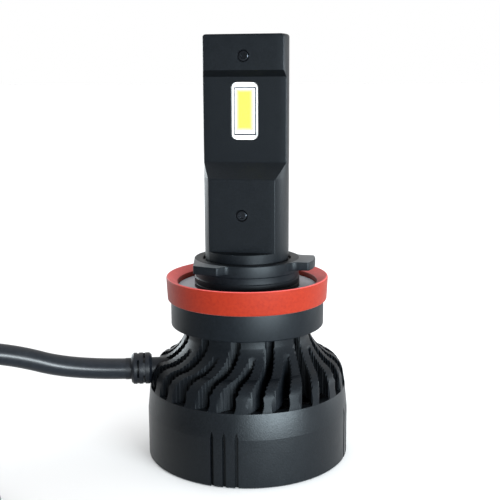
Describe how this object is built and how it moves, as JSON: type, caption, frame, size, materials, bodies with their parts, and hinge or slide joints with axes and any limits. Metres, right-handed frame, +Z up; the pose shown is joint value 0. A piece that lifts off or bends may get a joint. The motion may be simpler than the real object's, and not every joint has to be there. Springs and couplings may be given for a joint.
{
  "type": "led headlight bulb",
  "caption": "Fan-cooled LED headlight bulb with a three-lug collar, red seal, flat-faced lamp column and a short lead to its plug.",
  "frame": {"origin": "centre of the bottom rim of the fan housing, on the bulb's axis", "axes": "+Z up along the lamp column; the LEDs face -Y and +Y; the lead leaves towards -X"},
  "size_m": [0.0912, 0.089, 0.0756],
  "materials": {
    "black_anodised": "matte black anodised",
    "black_collar": "satin black",
    "red_silicone": "matte silicone",
    "dark_steel": "black oxide",
    "steel": "satin",
    "brass": "turned",
    "black_rubber": "matte",
    "green_silicone": "matte",
    "copper_board": "bare copper",
    "copper_wire": "enamelled copper",
    "white_board": "white solder mask",
    "white_ceramic": "white ceramic",
    "yellow_phosphor": "phosphor layer",
    "green_board": "solder mask",
    "wire_insulation": "satin",
    "cable_jacket": "satin PVC",
    "black_plastic": "moulded",
    "tinned_blade": "tinned"
  },
  "bodies": {
    "root": {"heatsink_body": "black_anodised", "spigot_o_ring": "black_rubber", "front_column_shell": "black_anodised", "rear_column_shell": "black_anodised", "led_core_board": "copper_board", "led_substrate_front": "white_board", "led_substrate_rear": "white_board", "led_package_front": "white_ceramic", "led_package_rear": "white_ceramic", "led_phosphor_front": "yellow_phosphor", "led_phosphor_rear": "yellow_phosphor", "column_screws": "dark_steel", "driver_board": "green_board", "driver_capacitor": "black_plastic", "driver_inductor": "black_plastic", "driver_chip": "black_plastic", "led_leads": "wire_insulation", "fan_leads": "wire_insulation", "fan_frame": "black_plastic", "bearing_sleeve": "brass", "stator_core": "steel", "stator_coils": "copper_wire", "fan_circuit_board": "green_board", "fan_guard": "black_plastic", "fan_screws": "dark_steel", "lead_strain_relief": "black_rubber", "lead_cores": "wire_insulation", "lead": "cable_jacket", "lead_coil": "cable_jacket", "lead_tail": "cable_jacket", "plug_housing": "black_plastic", "plug_terminals": "tinned_blade", "plug_lead_seal": "green_silicone", "plug_rear_cap": "black_plastic"},
    "collar": {"locking_collar": "black_collar", "silicone_seal": "red_silicone", "collar_grub_screw": "dark_steel"},
    "fan": {"fan_impeller": "black_plastic", "rotor_cup": "steel", "rotor_magnet": "dark_steel", "fan_shaft": "steel", "shaft_clip": "steel"}
  },
  "joints": [
    {"name": "fan_spin", "type": "hinge", "parent": "root", "child": "fan", "pos_m": [0, 0, 0.006], "axis": [0, 0, 1], "continuous": true},
    {"name": "collar_turn", "type": "hinge", "parent": "root", "child": "collar", "pos_m": [0, 0, 0.03], "axis": [0, 0, 1], "continuous": true}
  ]
}
